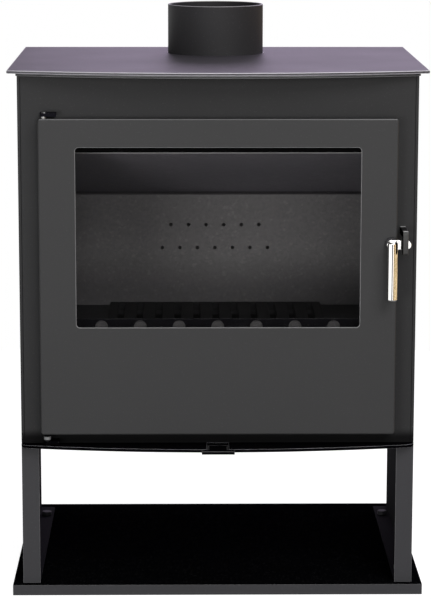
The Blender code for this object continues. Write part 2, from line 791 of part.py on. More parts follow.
def make_hinges(paint, steel, zinc, door):
    axis = (HINGE_X, back(HINGE_Y))
    room, spacer, proud, short = 0.0026, 0.0087, 0.0012, 0.003
    upper = (DOOR_HIGH + room, DOOR_HIGH + room + BRACKET_THICKNESS)
    lower_top = DOOR_LOW - GAP - spacer - GAP
    lower = (lower_top - BRACKET_THICKNESS, lower_top)
    for level, height in (("upper", upper), ("lower", lower)):
        bracket = prism(f"hinge_bracket_{level}", bracket_outline(), "Z", *height, paint)
        around = (height[0] - BEYOND, height[1] + BEYOND)
        cut_holes(bracket, [axis], PIN_RADIUS + GAP, "Z", *around)
    bore, inset = PIN_RADIUS + FIT, DOOR_CORNER
    bushes = {
        "upper": (DOOR_HIGH - inset - BUSH_LENGTH, DOOR_HIGH - inset),
        "lower": (DOOR_LOW + inset, DOOR_LOW + inset + BUSH_LENGTH),
    }
    for level, (low, high) in bushes.items():
        profile = [(bore, low), (BUSH_RADIUS, low), (BUSH_RADIUS, high), (bore, high)]
        turned(f"door_bush_{level}", profile, axis, "Z", steel, door, closed=True)
    chamfer = 0.0010
    pins = {
        "upper": (bushes["upper"][0] + short, upper[1] + proud),
        "lower": (lower[0], bushes["lower"][1] - short),
    }
    for level, (low, high) in pins.items():
        profile = [
            (PIN_RADIUS - chamfer, low),
            (PIN_RADIUS, low + chamfer),
            (PIN_RADIUS, high - chamfer),
            (PIN_RADIUS - chamfer, high),
        ]
        turned(f"hinge_pin_{level}", profile, axis, "Z", zinc)
    low, high, radius = lower_top + GAP, DOOR_LOW - GAP, 0.0047
    profile = [(bore, low), (radius, low), (radius, high), (bore, high)]
    turned("hinge_spacer", profile, axis, "Z", steel, closed=True)


# Handle and latch


def make_handle(stainless, dark, door, handle):
    centre = (HANDLE_X, HANDLE_Z)
    boss_rear = back(DOOR_FACE - GAP)
    boss_front = boss_rear - BOSS_LENGTH
    bore, bevel = SPINDLE_RADIUS + FIT, 0.0008
    profile = [
        (bore, boss_rear),
        (BOSS_RADIUS, boss_rear),
        (BOSS_RADIUS, boss_front + bevel),
        (BOSS_RADIUS - bevel, boss_front),
        (bore, boss_front),
    ]
    turned("handle_boss", profile, centre, "Y", dark, door, closed=True)

    tongue_rear = boss_front - GAP
    tongue_front = tongue_rear - TONGUE_THICKNESS
    half = TONGUE_HEIGHT / 2
    tip = arc((HANDLE_X + TONGUE_REACH - half, HANDLE_Z), half, -math.pi / 2, math.pi / 2, 8)
    hub_radius, hub_start = half + 0.001, math.pi * 0.6
    hub = arc(centre, hub_radius, hub_start, 2 * math.pi - hub_start, 8)
    tongue = prism("handle_tongue", tip + hub, "Y", tongue_front, tongue_rear, stainless, handle)
    through = (tongue_front - BEYOND, tongue_rear + BEYOND)
    cut_holes(tongue, [centre], SPINDLE_RADIUS + GAP, "Y", *through)

    shoulder, end = back(SPINDLE_SHOULDER), back(SPINDLE_END)
    profile = [
        (SPINDLE_RADIUS, tongue_front),
        (SPINDLE_RADIUS, shoulder),
        (SPINDLE_END_RADIUS, shoulder),
        (SPINDLE_END_RADIUS, end),
    ]
    turned("handle_spindle", profile, centre, "Y", dark, handle)
    flats, thickness, washer_room = 0.004, 0.004, 0.002
    nut_front = shoulder + washer_room
    bore = SPINDLE_END_RADIUS + GAP
    loops = [
        circle(bore, centre, "Y", nut_front),
        circle(flats, centre, "Y", nut_front, sides=6),
        circle(flats, centre, "Y", nut_front + thickness, sides=6),
        circle(bore, centre, "Y", nut_front + thickness),
    ]
    loft("spindle_nut", loops, dark, handle)

    round_over = 0.0012
    axis = (HANDLE_X, tongue_front - GAP - GRIP_RADIUS)
    profile = [
        (GRIP_RADIUS - round_over, GRIP_LOW),
        (GRIP_RADIUS, GRIP_LOW + round_over),
        (GRIP_RADIUS, GRIP_HIGH - round_over),
        (GRIP_RADIUS - round_over, GRIP_HIGH),
    ]
    turned("handle_grip", profile, axis, "Z", stainless, handle)


def make_keeper(paint):
    """Hook over the tongue: a bar out from the body with its front end turned down."""
    bar, leg, ease, round_over = 0.010, 0.0135, 0.003, 0.004
    rear, inner = -GAP, KEEPER_FRONT + leg
    middle = (KEEPER_FRONT + round_over, KEEPER_HIGH - round_over)
    outline = [(rear, KEEPER_HIGH)]
    outline += arc(middle, round_over, math.pi / 2, math.pi, CORNER_STEPS)
    outline += [
        (KEEPER_FRONT, KEEPER_LOW + ease),
        (KEEPER_FRONT + ease, KEEPER_LOW),
        (inner - ease, KEEPER_LOW),
        (inner, KEEPER_LOW + ease),
        (inner, KEEPER_HIGH - bar),
        (rear, KEEPER_HIGH - bar),
    ]
    outline = [(back(y), z) for y, z in outline]
    prism("latch_keeper", outline, "X", KEEPER_LEFT, KEEPER_LEFT + KEEPER_WIDTH, paint)


# Air control


def make_air_control(paint, steel, slide):
    """Joggled bar with a wide head in the lip's notch, and the shutter on its rear end."""
    recess, chamfer = 0.0006, 0.003
    top = FLOOR_Z + WALL - recess
    low = top - SLIDER_DROP
    bend = SLIDER_THICKNESS / 2
    head_rear = SLIDER_FRONT + HEAD_DEPTH
    outline = [
        (SLIDER_FRONT + chamfer, top),
        (JOGGLE_TOP, top),
        (JOGGLE_FOOT, low),
        (SLIDER_REAR, low),
        (SLIDER_REAR, low - SLIDER_THICKNESS),
        (JOGGLE_FOOT - bend, low - SLIDER_THICKNESS),
        (JOGGLE_TOP - bend, top - SLIDER_THICKNESS),
        (SLIDER_FRONT + chamfer, top - SLIDER_THICKNESS),
    ]
    outline = [(back(y), z) for y, z in outline]
    bar = prism("air_slider", outline, "X", -SLIDER_HALF, SLIDER_HALF, steel, slide)
    spare = (HEAD_THICKNESS - SLIDER_THICKNESS) / 2
    bm = bmesh.new()
    add_block(
        bm,
        (-HEAD_HALF, HEAD_HALF),
        (back(SLIDER_FRONT), back(head_rear)),
        (top - SLIDER_THICKNESS - spare, top + spare),
    )
    head = add_object("air_slider_head", bm, None, slide)
    head.hide_render = True
    head.display_type = "WIRE"
    join = bar.modifiers.new("Head", "BOOLEAN")
    join.operation = "UNION"
    join.solver = "EXACT"
    join.object = head

    margin, depth_room = 0.006, 0.006
    _, outer, front, rear = AIR_SLOT
    block(
        "air_shutter",
        (-outer - margin, outer + margin),
        (back(front - depth_room), back(rear + depth_room)),
        (low + GAP, FLOOR_Z - recess),
        steel,
        slide,
    )
    wall, ledge, clearance, front, rear = 0.003, 0.003, 0.0005, 0.002, 0.028
    inner = SLIDER_HALF + clearance
    foot = low - SLIDER_THICKNESS - clearance
    high = FLOOR_Z - GAP
    outline = [
        (inner, high),
        (inner + wall, high),
        (inner + wall, foot - wall),
        (inner - ledge, foot - wall),
        (inner - ledge, foot),
        (inner, foot),
    ]
    for side, sign in (("left", -1), ("right", 1)):
        points = [(sign * x, z) for x, z in outline]
        prism(f"slide_guide_{side}", points, "Y", back(front), back(rear), paint)


def main():
    for obj in list(bpy.data.objects):
        bpy.data.objects.remove(obj, do_unlink=True)

    paint = surface("stove_paint", (0.045, 0.044, 0.046), 0.5)
    plate_paint = surface("plate_paint", (0.055, 0.050, 0.062), 0.42)
    dark_steel = surface("dark_steel", (0.020, 0.020, 0.023), 0.6, 0.3)
    iron = surface("cast_iron", (0.014, 0.014, 0.015), 0.75, 0.4)
    brick = surface("vermiculite", (0.22, 0.216, 0.225), 0.9)
    stainless = surface("stainless", (0.80, 0.79, 0.77), 0.15, 1.0)
    zinc = surface("zinc_steel", (0.30, 0.30, 0.30), 0.4, 1.0)
    glass = surface("ceramic_glass", (0.60, 0.60, 0.60), 0.05, 0.0, 0.3)
    rope = surface("glass_rope", (0.030, 0.030, 0.032), 0.95)

    door = pivot("door_pivot", (HINGE_X, back(HINGE_Y), DOOR_LOW))
    handle = pivot("handle_pivot", (HANDLE_X, back(DOOR_FACE), HANDLE_Z))
    slide = pivot("air_control_pivot", (0.0, back(SLIDER_FRONT), FLOOR_Z))

    make_log_store(paint, dark_steel)
    make_shell(paint)
    make_top(paint, plate_paint)
    make_bricks(brick)
    make_baffle(brick)
    make_airwash(dark_steel)
    make_firebed(dark_steel, iron)
    make_retainer(dark_steel)
    make_ash_drawer(dark_steel)
    make_door_panel(paint, door)
    make_channel(dark_steel, door)
    make_rope(rope, door)
    make_glazing(glass, rope, dark_steel, door)
    make_hinges(paint, dark_steel, zinc, door)
    make_handle(stainless, dark_steel, door, handle)
    make_keeper(paint)
    make_air_control(paint, dark_steel, slide)


main()
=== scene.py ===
import json
import math

import bmesh
import bpy
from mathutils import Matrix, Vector


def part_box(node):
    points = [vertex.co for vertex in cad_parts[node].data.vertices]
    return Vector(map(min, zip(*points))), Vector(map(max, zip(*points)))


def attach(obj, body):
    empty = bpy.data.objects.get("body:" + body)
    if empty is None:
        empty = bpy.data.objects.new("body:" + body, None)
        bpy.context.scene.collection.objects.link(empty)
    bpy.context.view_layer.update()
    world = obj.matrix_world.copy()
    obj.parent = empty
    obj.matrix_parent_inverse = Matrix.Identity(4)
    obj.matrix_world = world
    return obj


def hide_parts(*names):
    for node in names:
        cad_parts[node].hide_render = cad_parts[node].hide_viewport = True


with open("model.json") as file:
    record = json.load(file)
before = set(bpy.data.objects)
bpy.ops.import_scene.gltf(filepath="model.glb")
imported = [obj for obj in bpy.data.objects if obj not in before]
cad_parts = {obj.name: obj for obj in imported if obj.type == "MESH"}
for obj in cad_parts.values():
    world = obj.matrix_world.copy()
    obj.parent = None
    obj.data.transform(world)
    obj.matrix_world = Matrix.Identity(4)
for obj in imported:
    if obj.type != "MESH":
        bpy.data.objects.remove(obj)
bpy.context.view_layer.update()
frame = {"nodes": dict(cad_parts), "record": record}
record = frame["record"]
bodyOf = {node: body for body, nodes in record["behaviour"]["bodies"].items() for node in nodes}
slotOf = {part["node"]: part["material_slot"] for part in record["subparts"]}
print("frame loaded,", len(frame["nodes"]), "nodes")


# Shader maths

class Signal:
    # a socket's output, so that shader maths reads as a formula
    def __init__(self, graph, socket):
        self.graph = graph
        self.socket = socket

    def maths(self, operation, first, second):
        return self.graph.node("ShaderNodeMath", {"operation": operation}, {0: first, 1: second})

    def __add__(self, other):
        return self.maths("ADD", self, other)

    def __radd__(self, other):
        return self.maths("ADD", other, self)

    def __sub__(self, other):
        return self.maths("SUBTRACT", self, other)

    def __rsub__(self, other):
        return self.maths("SUBTRACT", other, self)

    def __mul__(self, other):
        return self.maths("MULTIPLY", self, other)

    def __rmul__(self, other):
        return self.maths("MULTIPLY", other, self)


class Graph:
    # the nodes of one material or of the world
    def __init__(self, owner, coordinate):
        owner.use_nodes = True
        self.tree = owner.node_tree
        self.place = self.node("ShaderNodeTexCoord", output=coordinate)

    def node(self, kind, settings=None, values=None, output=0):
        made = self.tree.nodes.new(kind)
        for setting, value in (settings or {}).items():
            setattr(made, setting, value)
        for socket, value in (values or {}).items():
            self.feed(made.inputs[socket], value)
        return Signal(self, made.outputs[output])

    def feed(self, socket, value):
        if isinstance(value, Signal):
            self.tree.links.new(value.socket, socket)
        else:
            socket.default_value = value

    def noise(self, size, detail=2.0, stretch=(1.0, 1.0, 1.0), roughness=0.5):
        # cloudy pattern whose patches are about this size
        place = self.node("ShaderNodeVectorMath", {"operation": "MULTIPLY"}, {0: self.place, 1: stretch})
        values = {"Vector": place, "Scale": 1 / size, "Detail": detail, "Roughness": roughness}
        return self.node("ShaderNodeTexNoise", {}, values)

    def threshold(self, signal, low, high):
        # 0 below low, 1 above high, smooth between
        values = {"Value": signal, "From Min": low, "From Max": high}
        return self.node("ShaderNodeMapRange", {"interpolation_type": "SMOOTHSTEP"}, values)

    def blend(self, amount, first, second):
        values = {0: amount, 6: first, 7: second}
        return self.node("ShaderNodeMix", {"data_type": "RGBA"}, values, output=2)

    def along(self, axis):
        return self.node("ShaderNodeSeparateXYZ", {}, {0: self.place}, output=axis)


class Finish(Graph):
    # one material and its main shader
    def __init__(self, name, **constants):
        self.material = bpy.data.materials.new(name)
        super().__init__(self.material, "Object")
        self.shader = self.tree.nodes["Principled BSDF"]
        for socket, value in constants.items():
            self.shader.inputs[socket.replace("_", " ")].default_value = value

    def relief(self, height, depth, strength=1.0):
        values = {"Height": height, "Distance": depth, "Strength": strength}
        self.feed(self.shader.inputs["Normal"], self.node("ShaderNodeBump", {}, values))

    def paint(self, socket, value):
        self.feed(self.shader.inputs[socket], value)


def rgb(red, green, blue):
    return (red, green, blue, 1.0)


# Finishes

def sprayedPaint(name, dark, pale, roughness, specular, shadeBelow=None):
    # heat-resistant paint: fine powdery grain, a slight peel and an uneven coat; below a given height,
    # painted shade makes it almost black and rough
    finish = Finish(name, Specular_IOR_Level=specular)
    grain = finish.noise(0.0008, detail=2.0)
    peel = finish.noise(0.0035, detail=1.0)
    coat = finish.noise(0.12, detail=3.0)
    speck = finish.threshold(finish.noise(0.0022, detail=0.0), 0.70, 0.78)
    body = finish.blend(0.6 * coat + 0.4 * grain, dark, pale)
    colour = finish.blend(0.12 * speck, body, rgb(0.10, 0.10, 0.105))
    if shadeBelow:
        # painted shade: under the door the paint is darkened almost to black; clean is the share that lies
        # above, out of the shade
        clean = finish.threshold(finish.along("Z"), shadeBelow - 0.009, shadeBelow + 0.006)
        colour = finish.blend(clean, rgb(0.001, 0.001, 0.0013), colour)
        roughness = roughness + 0.45 * (1.0 - clean)
    finish.paint("Base Color", colour)
    finish.paint("Roughness", roughness + 0.10 * (coat - 0.5) + 0.14 * (grain - 0.5))
    finish.relief(0.6 * grain + 0.4 * peel, 0.00010)
    return finish.material


# depths of the hook's top skin and of the painted highlights at both ends of the top
hook = {"skin": (0.0007, 0.0003), "frontGlint": (0.0065, 0.0075), "rearGlint": (0.0095, 0.0085)}


def keeperPaint():
    # the hook's paint: its top painted almost black as painted shade, and a painted highlight at both ends of
    # the top
    low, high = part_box("latch_keeper")
    finish = Finish("keeper_paint", Roughness=0.5, Specular_IOR_Level=0.35)
    depth = finish.along("Y")
    top = finish.threshold(finish.along("Z"), high.z - hook["skin"][0], high.z - hook["skin"][1])
    front = 1.0 - finish.threshold(depth, low.y + hook["frontGlint"][0], low.y + hook["frontGlint"][1])
    rear = finish.threshold(depth, high.y - hook["rearGlint"][0], high.y - hook["rearGlint"][1])
    # painted highlight: light patches at the front and rear ends of the top
    glint = top * (front + rear)
    grain = finish.noise(0.0008, detail=2.0)
    paint = finish.blend(grain, rgb(0.026, 0.026, 0.026), rgb(0.040, 0.039, 0.038))
    # painted shade: the top face is darkened almost to black
    paint = finish.blend(top, paint, rgb(0.002, 0.002, 0.002))
    finish.paint("Base Color", finish.blend(glint, paint, rgb(0.36, 0.36, 0.36)))
    finish.relief(grain, 0.0001)
    return finish.material


def oiledSteel():
    # dark mill scale on hot-rolled steel: patches, fine drawn lines and a few bare rubs
    finish = Finish("dark_steel", Specular_IOR_Level=0.4)
    scale = finish.noise(0.018, detail=5.0, roughness=0.65)
    drawn = finish.noise(0.0006, detail=2.0, stretch=(0.05, 1.0, 1.0))
    rub = finish.threshold(finish.noise(0.05, detail=6.0, roughness=0.7), 0.60, 0.72)
    dark = finish.blend(scale, rgb(0.010, 0.010, 0.012), rgb(0.030, 0.029, 0.033))
    finish.paint("Base Color", finish.blend(0.35 * rub, dark, rgb(0.075, 0.073, 0.076)))
    finish.paint("Metallic", 0.25 + 0.35 * rub)
    finish.paint("Roughness", 0.56 + 0.2 * (scale - 0.5) + 0.12 * (drawn - 0.5))
    finish.relief(0.7 * scale + 0.3 * drawn, 0.00012)
    return finish.material


def castIron():
    # sand-cast skin with soot in its pits and a little dry rust
    finish = Finish("cast_iron", Specular_IOR_Level=0.35)
    sand = finish.noise(0.0016, detail=4.0, roughness=0.7)
    lump = finish.noise(0.009, detail=3.0)
    rust = finish.threshold(finish.noise(0.022, detail=6.0, roughness=0.75), 0.60, 0.74)
    iron = finish.blend(sand, rgb(0.004, 0.004, 0.005), rgb(0.014, 0.014, 0.015))
    finish.paint("Base Color", finish.blend(0.3 * rust, iron, rgb(0.032, 0.017, 0.010)))
    finish.paint("Metallic", 0.4 - 0.35 * rust)
    finish.paint("Roughness", 0.68 + 0.25 * (sand - 0.5))
    finish.relief(0.65 * sand + 0.35 * lump, 0.0006)
    return finish.material


def vermiculiteBoard(name, dark, pale):
    # pressed flakes: each has its own grey, a few shine like mica; smoke stains it in patches, and painted
    # shade darkens it towards the sides and the foot
    finish = Finish(name, Specular_IOR_Level=0.25)
    warp = finish.noise(0.006, detail=2.0)
    flakePlace = finish.node(
        "ShaderNodeVectorMath", {"operation": "MULTIPLY_ADD"},
        {0: warp, 1: (0.004, 0.004, 0.004), 2: finish.place})
    flake = finish.node(
        "ShaderNodeTexVoronoi", {}, {"Vector": flakePlace, "Scale": 1 / 0.0032}, output="Color")
    shade = finish.node("ShaderNodeSeparateColor", {}, {"Color": flake})
    crumb = finish.noise(0.0011, detail=3.0, roughness=0.6)
    smoke = finish.noise(0.16, detail=3.0)
    mica = finish.threshold(shade, 0.93, 0.98)
    board = finish.blend(0.45 * shade + 0.55 * crumb, dark, pale)
    board = finish.blend(0.15 * mica, board, rgb(0.60, 0.58, 0.55))
    across = finish.along("X")
    # painted shade: the board gets darker towards its sides and its foot; only the smoke patches are stains
    sides = finish.threshold(across.maths("ABSOLUTE", across, 0.0), 0.03, 0.25)
    foot = 1.0 - finish.threshold(finish.along("Z"), 0.350, 0.425)
    stainAndShade = 0.25 * smoke + 0.12 * sides + 0.45 * foot
    finish.paint("Base Color", finish.blend(stainAndShade, board, rgb(0.045, 0.043, 0.050)))
    finish.paint("Roughness", 0.92 - 0.25 * mica)
    finish.relief(0.5 * shade + 0.5 * crumb, 0.0003)
    return finish.material


def polishedSteel():
    # mirror polish with the last fine buffing lines still in it
    finish = Finish("stainless", Specular_IOR_Level=0.5, Metallic=1.0)
    buff = finish.noise(0.0005, detail=3.0, stretch=(1.0, 1.0, 0.06))
    touch = finish.noise(0.012, detail=4.0, roughness=0.6)
    finish.paint("Base Color", finish.blend(touch, rgb(0.70, 0.69, 0.67), rgb(0.86, 0.85, 0.83)))
    finish.paint("Roughness", 0.02 + 0.04 * buff + 0.03 * touch)
    finish.relief(0.5 * buff + 0.5 * touch, 0.000008)
    return finish.material


def zincPlate():
    # bright zinc gone dull, with crystals and a yellow trace of passivation
    finish = Finish("zinc_steel", Metallic=1.0)
    crystal = finish.noise(0.0018, detail=2.0)
    tarnish = finish.threshold(finish.noise(0.006, detail=4.0), 0.45, 0.70)
    zinc = finish.blend(crystal, rgb(0.22, 0.22, 0.23), rgb(0.40, 0.40, 0.40))
    finish.paint("Base Color", finish.blend(0.5 * tarnish, zinc, rgb(0.26, 0.23, 0.16)))
    finish.paint("Roughness", 0.30 + 0.20 * crystal + 0.15 * tarnish)
    finish.relief(crystal, 0.00006)
    return finish.material


def ceramicGlass():
    # clear pane with a smoky tint, a faint haze and a reflection that grows at a slant
    finish = Finish("ceramic_glass")
    haze = finish.noise(0.05, detail=4.0)
    slant = finish.node("ShaderNodeFresnel", {}, {"IOR": 1.45})
    clear = finish.node("ShaderNodeBsdfTransparent", {}, {"Color": rgb(0.88, 0.875, 0.875)}, output="BSDF")
    gloss = finish.node(
        "ShaderNodeBsdfGlossy", {}, {"Color": rgb(1.0, 1.0, 1.0), "Roughness": 0.0}, output="BSDF")
    pane = finish.node(
        "ShaderNodeMixShader", {}, {0: 0.9 * slant + 0.012 * haze, 1: clear, 2: gloss}, output="Shader")
    output = finish.tree.nodes["Material Output"]
    finish.tree.nodes.remove(finish.shader)
    finish.tree.links.new(pane.socket, output.inputs["Surface"])
    return finish.material


def knittedGlassRope():
    # black glass-fibre yarn knitted into a rope: two sets of slanted ribs that cross, and loose fibre
    finish = Finish("glass_rope", Specular_IOR_Level=0.3, Sheen_Weight=0.4, Sheen_Roughness=0.5)
    turn = math.radians(45)
    ribs = []
    for angle in (turn, -turn):
        values = {"Vector": finish.place, "Rotation": (0.0, angle, 0.0)}
        slanted = finish.node("ShaderNodeMapping", {}, values)
        values = {"Vector": slanted, "Scale": 1 / 0.012, "Distortion": 0.6, "Detail": 1.0}
        ribs.append(finish.node("ShaderNodeTexWave", {"bands_direction": "X"}, values, output=1))
    knit = ribs[0].maths("MAXIMUM", ribs[0], ribs[1])
    fibre = finish.noise(0.0006, detail=3.0)
    finish.paint("Base Color", finish.blend(
        0.7 * knit + 0.3 * fibre, rgb(0.008, 0.008, 0.009), rgb(0.050, 0.050, 0.054)))
    finish.paint("Roughness", 0.95 - 0.15 * knit)
    finish.relief(0.8 * knit + 0.2 * fibre, 0.0009)
    return finish.material


# Sprayed paints: dark and pale tone, roughness, specular level, and for the body the height below which shade
# is painted
paints = {
    "stove_paint": ((0.029, 0.029, 0.030), (0.039, 0.039, 0.040), 0.60, 0.28),
    # the body's paint is the stove's paint darkened, as painted shade on the firebox's shell
    "shade_darkened_body_paint": ((0.016, 0.016, 0.017), (0.022, 0.022, 0.023), 0.60, 0.26, 0.222),
    "stand_paint": ((0.034, 0.0335, 0.037), (0.046, 0.0455, 0.050), 0.60, 0.30),
    # painted highlight for the eased edges that catch the light
    "arris_highlight_paint": ((0.14, 0.14, 0.145), (0.21, 0.21, 0.215), 0.42, 0.6),
    # brighter painted highlight for the edges of the top plate and of the floor plate's lip
    "bright_arris_highlight": ((0.36, 0.35, 0.38), (0.52, 0.51, 0.55), 0.38, 0.7),
    "shaded_paint": ((0.004, 0.0037, 0.006), (0.006, 0.0055, 0.009), 0.80, 0.08),
    "collar_paint": ((0.017, 0.0165, 0.018), (0.024, 0.023, 0.025), 0.62, 0.22),
    "plate_paint": ((0.024, 0.021, 0.028), (0.034, 0.030, 0.039), 0.45, 0.5),
    # painted shade: near-black, dull paint for faces that lie in shadow
    "shade_black_paint": ((0.0010, 0.0010, 0.0013), (0.002, 0.002, 0.0026), 0.95, 0.0),
}
finishes = {
    name: sprayedPaint(name, rgb(*dark), rgb(*pale), *rest) for name, (dark, pale, *rest) in paints.items()}
finishes.update({
    "keeper_paint": keeperPaint(),
    "dark_steel": oiledSteel(),
    "cast_iron": castIron(),
    "vermiculite": vermiculiteBoard("vermiculite", rgb(0.265, 0.262, 0.262), rgb(0.375, 0.370, 0.370)),
    # the baffle's board is the vermiculite lightened and tinted violet, as painted light and a painted violet
    # reflection on its underside
    "lightened_baffle_board": vermiculiteBoard("lightened_baffle_board", rgb(0.40, 0.385, 0.43), rgb(0.54, 0.52, 0.58)),
    # painted highlight on the baffle's eased edges
    "board_arris_highlight": vermiculiteBoard("board_arris_highlight", rgb(0.80, 0.79, 0.80), rgb(0.95, 0.94, 0.95)),
    "stainless": polishedSteel(),
    "zinc_steel": zincPlate(),
    "ceramic_glass": ceramicGlass(),
    "glass_rope": knittedGlassRope(),
})
print("finishes made:", ", ".join(finishes))


# Modelling tools

def makeActive(piece):
    bpy.ops.object.select_all(action="DESELECT")
    piece.select_set(True)
    bpy.context.view_layer.objects.active = piece


def named(name):
    # names the primitive that was just added
    piece = bpy.context.object
    piece.name = name
    piece.data.name = name
    return piece


def edit():
    bpy.ops.object.mode_set(mode="EDIT")


def leaveEdit():
    bpy.ops.object.mode_set(mode="OBJECT")


def pick(piece, kind, test):
    # in edit mode, selects the vertices, edges or faces that pass the test
    bpy.ops.mesh.select_mode(type=kind)
    bpy.ops.mesh.select_all(action="DESELECT")
    mesh = bmesh.from_edit_mesh(piece.data)
    for item in {"VERT": mesh.verts, "EDGE": mesh.edges, "FACE": mesh.faces}[kind]:
        item.select_set(test(item))
    mesh.select_flush_mode()
    bmesh.update_edit_mesh(piece.data)


def applyModifier(piece, kind, **settings):
    makeActive(piece)
    modifier = piece.modifiers.new(kind.title(), kind)
    for setting, value in settings.items():
        setattr(modifier, setting, value)
    bpy.ops.object.modifier_apply(modifier=modifier.name)


def carve(piece, cutter, operation="DIFFERENCE"):
    applyModifier(piece, "BOOLEAN", operation=operation, solver="EXACT", object=cutter)
    bpy.data.objects.remove(cutter)


def settle(piece):
    # puts the piece's place into its mesh
    makeActive(piece)
    bpy.ops.object.transform_apply(location=True, rotation=True, scale=True)


def easeEdges(piece, width, segments=3, sharpest=32):
    # rounds every edge sharper than this angle and keeps the flat faces flat
    makeActive(piece)
    bpy.ops.object.shade_smooth_by_angle(angle=math.radians(sharpest))
    applyModifier(
        piece, "BEVEL", width=width, segments=segments, limit_method="ANGLE",
        angle_limit=math.radians(sharpest), harden_normals=True, use_clamp_overlap=True,
        material=len(piece.data.materials) - 1)


def dress(piece, node, finish=None, arris=None):
    # gives the piece its finish, which is the slot's own unless another is named, hides its node in its
    # place, and lets it ride with that node's body; edges that are eased afterwards get the arris finish
    slot = slotOf[node]
    piece.data.materials.clear()
    for name in filter(None, (finish or slot, arris)):
        piece.data.materials.append(finishes[name])
    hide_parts(node)
    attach(piece, bodyOf[node])
    return piece


def refinish(name, finish, inside):
    # gives another finish to the faces that pass the test
    piece = bpy.data.objects[name]
    piece.data.materials.append(finishes[finish])
    for face in piece.data.polygons:
        if inside(face):
            face.material_index = len(piece.data.materials) - 1


clean = {"weld": 0.00002, "flat": 0.4}


def plateFrom(node, width, finish=None, arris=None, segments=3):
    # the node's own plate with clean faces and eased edges
    piece = bpy.data.objects.new(node + "_finished", frame["nodes"][node].data.copy())
    bpy.context.scene.collection.objects.link(piece)
    makeActive(piece)
    if piece.data.has_custom_normals:
        bpy.ops.mesh.customdata_custom_splitnormals_clear()
    edit()
    bpy.ops.mesh.select_all(action="SELECT")
    bpy.ops.mesh.remove_doubles(threshold=clean["weld"])
    bpy.ops.mesh.dissolve_limited(angle_limit=math.radians(clean["flat"]))
    leaveEdit()
    dress(piece, node, finish, arris)
    easeEdges(piece, width, segments)
    return piece


def boxed(name, low, high):
    # a cube at its place and size
    bpy.ops.object.select_all(action="DESELECT")
    middle, size = (low + high) / 2, high - low
    bpy.ops.mesh.primitive_cube_add(size=1.0, location=middle, scale=size)
    piece = named(name)
    settle(piece)
    return piece


def rounded(piece, radius, segments, along=1):
    # rounds the four edges of a box that run along one axis
    edit()
    pick(piece, "EDGE", lambda e: abs((e.verts[0].co - e.verts[1].co).normalized()[along]) > 0.99)
    bpy.ops.mesh.bevel(offset=radius, segments=segments, affect="EDGES", offset_type="OFFSET")
    leaveEdit()


def turned(name, profile, centre, axis="Z", segments=64, ring=False):
    # a circle drawn out through (radius, distance) steps; a ring's last step meets its first
    bpy.ops.object.select_all(action="DESELECT")
    radius, distance = profile[0]
    bpy.ops.mesh.primitive_circle_add(vertices=segments, radius=radius, location=(0.0, 0.0, distance))
    piece = named(name)
    edit()
    bpy.ops.mesh.select_all(action="SELECT")
    for nextRadius, nextDistance in profile[1:]:
        step = (0.0, 0.0, nextDistance - distance)
        bpy.ops.mesh.extrude_edges_move(TRANSFORM_OT_translate={"value": step})
        scale = nextRadius / radius
        bpy.ops.transform.resize(value=(scale, scale, 1.0), center_override=(0.0, 0.0, nextDistance))
        radius, distance = nextRadius, nextDistance
    bpy.ops.mesh.select_all(action="DESELECT")
    bpy.ops.mesh.select_mode(type="EDGE")
    bpy.ops.mesh.select_non_manifold()
    if ring:
        bpy.ops.mesh.bridge_edge_loops()
    else:
        bpy.ops.mesh.fill_holes(sides=0)
    bpy.ops.mesh.select_all(action="SELECT")
    bpy.ops.mesh.normals_make_consistent(inside=False)
    leaveEdit()
    settle(piece)
    if axis == "Y":
        piece.rotation_euler = (-math.pi / 2, 0.0, 0.0)
        piece.location = (centre[0], 0.0, centre[1])
    else:
        piece.location = (centre[0], centre[1], 0.0)
    settle(piece)
    bpy.ops.object.shade_smooth_by_angle(angle=math.radians(30))
    applyModifier(piece, "WEIGHTED_NORMAL", keep_sharp=True)
    return piece


def quarter(radius, distance, fillet, start, steps=5):
    # a quarter round in a profile: its middle, its size and the angle that it starts from
    angles = [math.radians(start + 90 * i / steps) for i in range(steps + 1)]
    return [(radius + fillet * math.cos(a), distance + fillet * math.sin(a)) for a in angles]


def rod(radius, low, high, lowFillet, highFillet):
    # profile of a plain rod with rounded ends
    foot = quarter(radius - lowFillet, low + lowFillet, lowFillet, -90)
    head = quarter(radius - highFillet, high - highFillet, highFillet, 0)
    return foot + head


def tube(bore, radius, low, high, fillet):
    # profile of a tube, its four edges rounded
    inner, outer = bore + fillet, radius - fillet
    return (quarter(outer, low + fillet, fillet, -90, 3) + quarter(outer, high - fillet, fillet, 0, 3)
            + quarter(inner, high - fillet, fillet, 90, 3) + quarter(inner, low + fillet, fillet, 180, 3))


def centreOf(node, first, second):
    low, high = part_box(node)
    middle = (low + high) / 2
    return (middle[first], middle[second])


